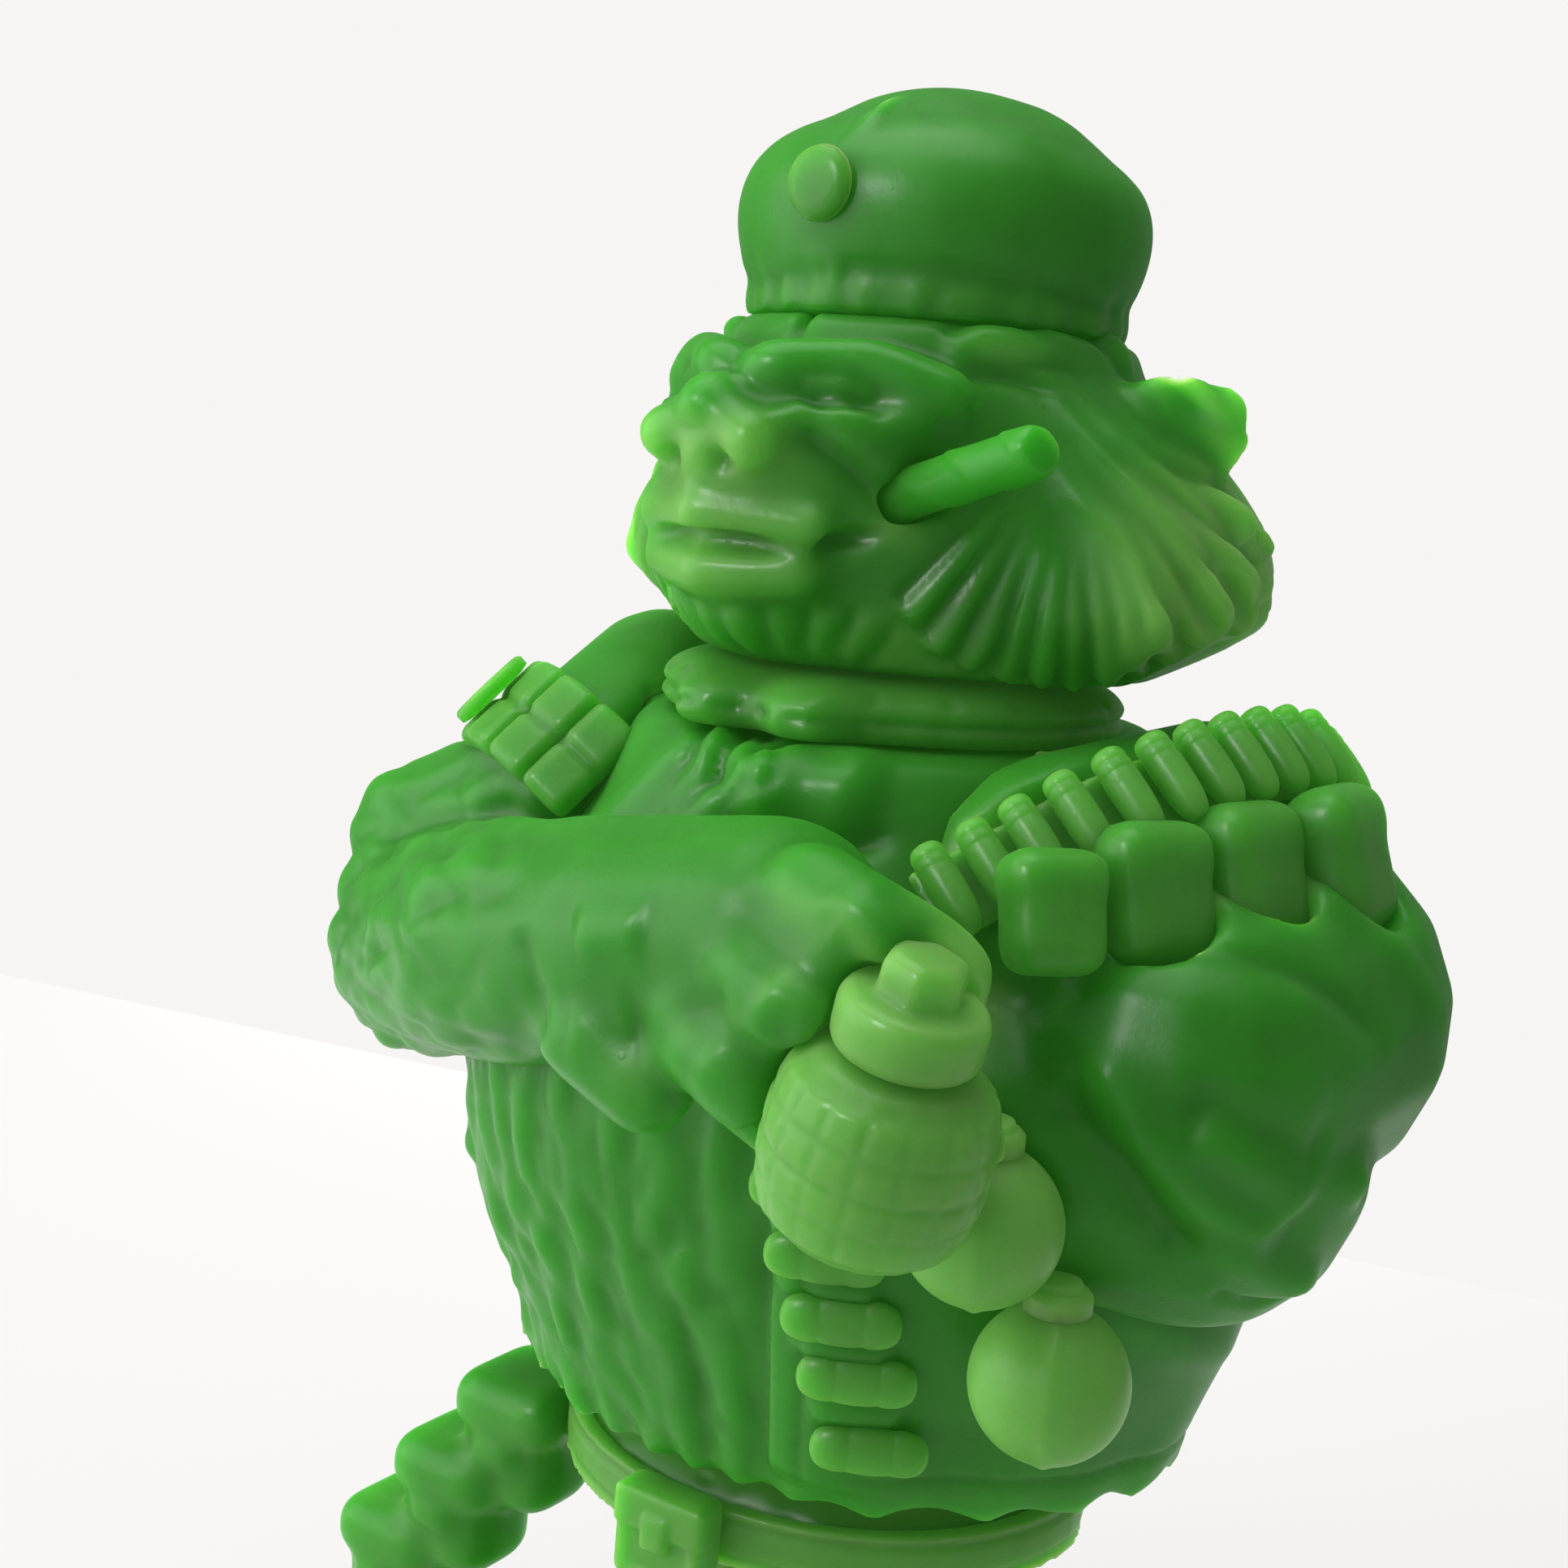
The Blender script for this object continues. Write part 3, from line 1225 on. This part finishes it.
# %% Armband
band_foot = np.array([-19.7, -9.4, 78.0])
band_tip = np.array([-25.7, -19.2, 66.48])
band_along = unit(band_tip - band_foot)
band_across = unit(np.cross([0, 0, 1], band_along))
band_over = np.cross(band_along, band_across)
arm_radius, arm_share, band_gap = 8.2, 0.97, 0.15
band_radius = arm_share*arm_radius + band_gap
band_start, band_sweep = -104, 168
plate_count = 7
plate_row = 4.0
plate_forms = [block("plate_base", (4.1, 8.0, 1.5), 0.4, 2, spot=(0, 0, 0.75))]
for row in (-1, 1):
    panel_spot = (0, row*(plate_row + 0.1)/2, 1.1)
    plate_forms.append(block("plate_panel", (3.9, plate_row, 2.3), 0.7, 3, spot=panel_spot))
plate = joined("plate", plate_forms)
soften(plate, voxel=0.22, smoothing=7)
places = []
for k in range(plate_count):
    lean = math.radians(band_start + band_sweep*(k + 0.5)/plate_count)
    out = math.cos(lean)*band_over + math.sin(lean)*band_across
    places.append((band_foot + out*band_radius, np.cross(band_along, out), band_along, out))
disc_place = places[plate_count//2]
band = copies_of(plate, "armband_plates", places)
dress(band, "torso", ["armband"], backing=0.75)
disc_levels = [(2.6, 0.0), (3.2, 0.15), (3.25, 0.8), (3.0, 1.05), (2.6, 1.05), (2.4, 0.85), (0.4, 0.8)]
disc = turned("armband_plain_disc", disc_levels, sides=40)
plate_top, disc_gap = 2.2, 0.15
set_on(disc, disc_place[0] + disc_place[3]*(plate_top + disc_gap), *disc_place[1:])
dress(disc, "torso", ["armband_disc"], backing=0.75)

# %% [markdown]
# The cigar is a slim turned stub with a leaf wound round it. The boss on the beret is left plain.

# %% Cigar and boss
cigar_cloud = solids_of("cigar")[0]
cigar_way, cigar_middle = long_axis(cigar_cloud)
if (cigar_middle[:2] @ cigar_way[:2]) < 0:
    cigar_way = -cigar_way
cigar_half = np.abs((cigar_cloud - cigar_middle) @ cigar_way).max()
cigar_levels = [(1.4, -cigar_half)]
for t in np.linspace(0, 1, 40):
    cigar_levels.append((1.62 + 0.02*t, -cigar_half + 0.4 + (2*cigar_half - 1.2)*t))
for r, back in ((1.56, 0.5), (1.42, 0.18), (1.1, 0.05), (0.3, 0.0)):
    cigar_levels.append((r, cigar_half - back))
cigar = turned("cigar_stub", cigar_levels, sides=36)
cigar_side = unit(np.cross(cigar_way, [0, 0, 1]))
cigar_rise = np.cross(cigar_way, cigar_side)
set_on(cigar, cigar_middle, cigar_side, cigar_rise, cigar_way)
clay = Clay(cigar)
leaf_turns, leaf_radius = 1.6, 1.5
for start in (0.0, 0.5):
    wind = []
    for t in np.linspace(0, 1, 24):
        turn = 2*math.pi*(leaf_turns*t + start)
        way = math.cos(turn)*cigar_side + math.sin(turn)*cigar_rise
        wind.append(cigar_middle + cigar_way*cigar_half*(2*t - 1) + leaf_radius*way)
    clay.stroke(wind, 0.35, 0.12, "edge", taper=(0.05, 0.05), reach=1.2)
clay.press()
dress(cigar, "head", ["cigar"], backing=1.0)

boss_cloud = solids_of("badge_boss")[0]
boss_middle = middle(boss_cloud)
boss_out = unit([boss_middle[0], boss_middle[1], 0])
boss_levels = [(2.0, -0.5), (2.45, -0.4), (2.3, 0.1), (1.9, 0.42), (1.3, 0.5), (0.3, 0.5)]
boss = turned("plain_boss", boss_levels, sides=36)
set_on(boss, boss_middle, np.cross([0, 0, 1], boss_out), (0, 0, 1), boss_out)
dress(boss, "head", ["badge_boss"], backing=0.85)

# %% [markdown]
# Below the jacket are the trouser seat and a belt with a buckle case. Seams and pleats are strokes on
# copies of the castings. The case is a bevelled block with an inset front, a flap and a clasp.

# %% Trouser seat and belt
seat = casting_copy("trouser_seat", ["hips"], voxel=0.45, smoothing=5)
clay = Clay(seat)
seat_low, seat_high = node_box("hips")[0][2], 34.4
for angle in (0, 90, 180, 270):
    seam = clay.column(angle, (seat_high - 0.6, seat_low + 0.4))
    clay.stroke(seam, 0.4, 0.4, "groove", taper=(0.02, 0.02))
for angle in (28, 52, 128, 152, 208, 232, 308, 332):
    clay.stroke([clay.around(angle, seat_high - 0.8), clay.around(angle + 4, seat_low + 0.8)], 1.1, 0.4)
clay.press()
dress(seat, "legs", ["hips"], backing=0)

belt = casting_copy("hip_belt", ["waist_belt"], voxel=0.3, smoothing=3)
clay = Clay(belt)
belt_low, belt_high = (corner[2] for corner in node_box("waist_belt"))
for rim in (belt_low + 0.7, belt_high - 0.7):
    clay.ring(rim, 0.3, 0.3)
clay.press()
dress(belt, "legs", ["waist_belt"])

buckle_low, buckle_high = node_box("buckle_case")
buckle_size = buckle_high - buckle_low
buckle_face = -buckle_size[1]/2
buckle = block("buckle_box", tuple(buckle_size), 0.8, 3)
select_faces(buckle, lambda centre, normal: normal.y < -0.95)
bpy.ops.mesh.inset(thickness=0.5*MM, depth=0.0)
bpy.ops.mesh.inset(thickness=0.3*MM, depth=-0.3*MM)
bpy.ops.object.mode_set(mode="OBJECT")
clasp_spot = (0, buckle_face - 0.1, buckle_size[2]*0.1)
clasp = block("buckle_clasp", (2.2, 1.0, 2.6), 0.4, 3, spot=clasp_spot)
flap_size = (buckle_size[0], 0.9, buckle_size[2]*0.42)
flap_spot = (0, buckle_face + 0.25, buckle_size[2]*0.27)
flap = block("buckle_flap", flap_size, 0.4, 3, spot=flap_spot)
buckle = joined("buckle_box", [buckle, clasp, flap])
soften(buckle, voxel=0.22, smoothing=3)
set_on(buckle, (buckle_low + buckle_high)/2, (1, 0, 0), (0, 1, 0), (0, 0, 1))
dress(buckle, "legs", ["buckle_case"])

# %% [markdown]
# A row of pouches hangs off the right hip. The copy is swollen a little and its corners are filled,
# so that the pouches melt into each other like one casting.

# %% Thigh pouches
thigh = casting_copy("thigh_pouches", ["hip_pouches"], voxel=0.36, smoothing=4)
modify(thigh, "DISPLACE", strength=0.5*MM, mid_level=0.0)
fillet(thigh, swell=0.9, voxel=0.36, smoothing=12)
dress(thigh, "legs", ["hip_pouches"])

# %% [markdown]
# Both legs have the same folds, and both boots the same welt, tread, laces and toe cap. Each is a
# stroke placed by angle and height about the limb's own middle, so one list serves both sides.

# %% Legs and boots
leg_folds = [
    [(-50, 0.72), (0, 0.68), (45, 0.74)],
    [(-40, 0.52), (10, 0.46), (55, 0.5)],
    [(-60, 0.34), (-10, 0.3), (40, 0.36)],
    [(120, 0.7), (170, 0.62), (220, 0.68)],
    [(130, 0.44), (180, 0.36), (230, 0.44)],
    [(-70, 0.16), (0, 0.12), (70, 0.17)],
    [(110, 0.17), (180, 0.12), (250, 0.17)],
]
lace_rows = (5.4, 7.0, 8.6, 10.2)
tread_rows = (0.4, 2.2)
toe_cap_height = 5.6
for side in ("left", "right"):
    low, high = node_box(side + "_leg")
    heart = (low[:2] + high[:2])/2
    tall = high[2] - low[2]
    leg = casting_copy(side + "_trouser_leg", [side + "_leg"], voxel=0.4, smoothing=4)
    clay = Clay(leg)
    for fold in leg_folds:
        path = [clay.around(angle, low[2] + share*tall, heart) for angle, share in fold]
        clay.stroke(path, 1.2, 0.6)
        clay.stroke([spot - [0, 0, 1.7] for spot in path], 0.8, 0.4, "groove")
    for angle in (-90, 90):
        heights = [low[2] + share*tall for share in (0.95, 0.7, 0.45, 0.2, 0.05)]
        seam = clay.column(angle, heights, heart)
        clay.stroke(seam, 0.35, 0.35, "groove", taper=(0.02, 0.02))
    clay.press()
    dress(leg, "legs", [side + "_leg"], backing=0)

    low, high = node_box(side + "_boot")
    heart = (low[:2] + high[:2])/2
    boot = casting_copy(side + "_laced_boot", [side + "_boot"], voxel=0.4, smoothing=4)
    clay = Clay(boot)
    for z, depth in ((3.0, 0.6), (1.0, 0.3)):
        clay.ring(z, 0.45, depth, heart=heart)
    for angle in range(0, 360, 15):
        clay.stroke(clay.column(angle, tread_rows, heart), 0.45, 0.45, "groove", taper=(0.05, 0.1))
    for z in lace_rows:
        clay.stroke(clay.row((-24, 0, 24), z, heart), 0.5, 0.5)
    toe_cap = clay.row((-60, -30, 0, 30, 60), toe_cap_height, heart)
    clay.stroke(toe_cap, 0.4, 0.4, "groove")
    clay.press()
    dress(boot, "legs", [side + "_boot"], backing=0)

# %% [markdown]
# The hidden pegs, posts and bushes keep their CAD shape in plain white plastic. Every other CAD node
# is stood for by a dressed piece, and gets the gear's vinyl in case it is shown alone.

# %% CAD nodes, size and hand over
for name, node in frame["nodes"].items():
    hidden_plug = any(word in name for word in ("peg", "post", "bush"))
    node.data.materials.clear()
    node.data.materials.append(plug_plastic if hidden_plug else gear_vinyl)
